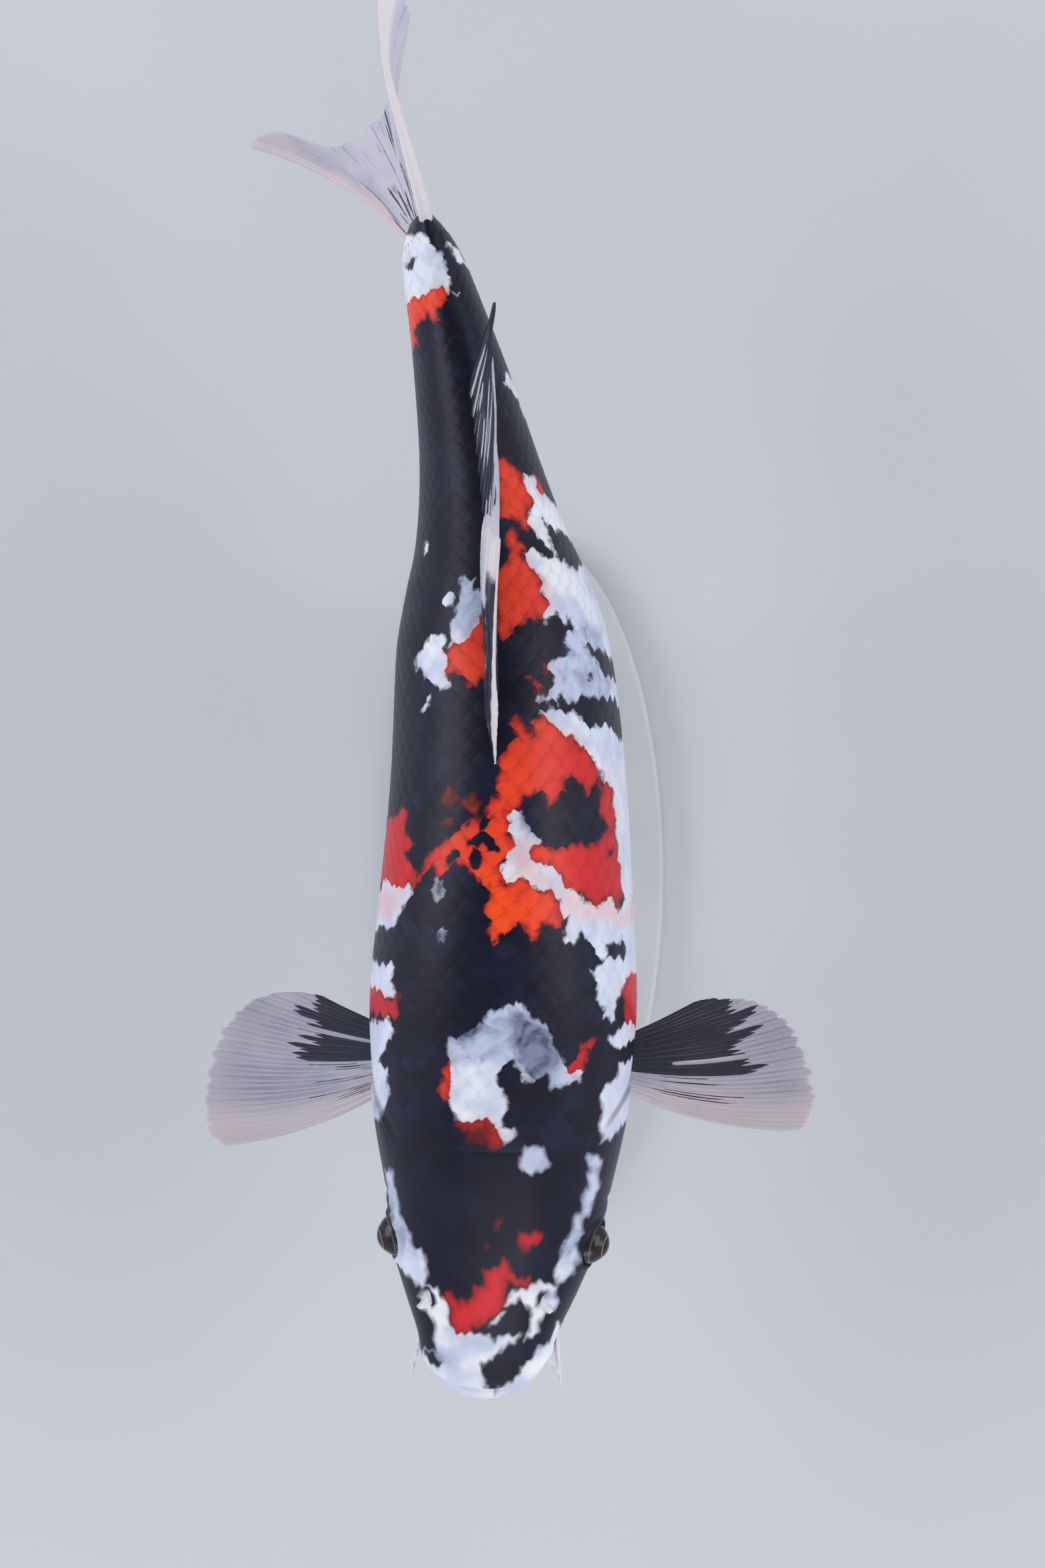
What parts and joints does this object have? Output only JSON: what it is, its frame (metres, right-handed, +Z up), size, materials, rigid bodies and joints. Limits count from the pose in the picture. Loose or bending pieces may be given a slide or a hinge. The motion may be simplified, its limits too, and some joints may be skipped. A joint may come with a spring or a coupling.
{
  "type": "koi carp model",
  "caption": "Life-size still model of a swimming koi carp in black, red and white, its tail turned aside and its side fins spread, held by rods above a plain oval base.",
  "frame": {"origin": "underside of the stand's base plate, at the middle of the plate", "axes": "+Z up; the head points toward -Y and the tail toward +Y, so +X is the fish's left side"},
  "size_m": [0.2206, 0.4978, 0.2212],
  "materials": {
    "koi_skin": "wet gloss over painted scales: black with orange-red and white markings",
    "koi_mouth": "soft wet gloss, pale",
    "koi_fin": "thin, slightly translucent, with fine rays and black roots",
    "koi_eye": "high gloss",
    "stand_plate": "matt pale grey paint on steel",
    "stand_rod": "brushed"
  },
  "bodies": {
    "root": {"head": "koi_skin", "gill_cover_left": "koi_skin", "gill_cover_right": "koi_skin", "trunk_front": "koi_skin", "trunk_rear": "koi_skin", "tail_peduncle": "koi_skin", "jaw_lower": "koi_mouth", "lip_upper": "koi_mouth", "lip_lower": "koi_mouth", "barbel_corner_left": "koi_mouth", "barbel_corner_right": "koi_mouth", "barbel_upper_left": "koi_mouth", "barbel_upper_right": "koi_mouth", "nostril_flap_left": "koi_mouth", "nostril_flap_right": "koi_mouth", "dorsal_fin": "koi_fin", "caudal_fin_upper": "koi_fin", "caudal_fin_lower": "koi_fin", "anal_fin": "koi_fin", "pectoral_fin_left": "koi_fin", "pectoral_fin_right": "koi_fin", "pelvic_fin_left": "koi_fin", "pelvic_fin_right": "koi_fin", "eye_left": "koi_eye", "eye_right": "koi_eye", "stand_base": "stand_plate", "stand_rod_front": "stand_rod", "stand_rod_rear": "stand_rod"}
  },
  "joints": []
}
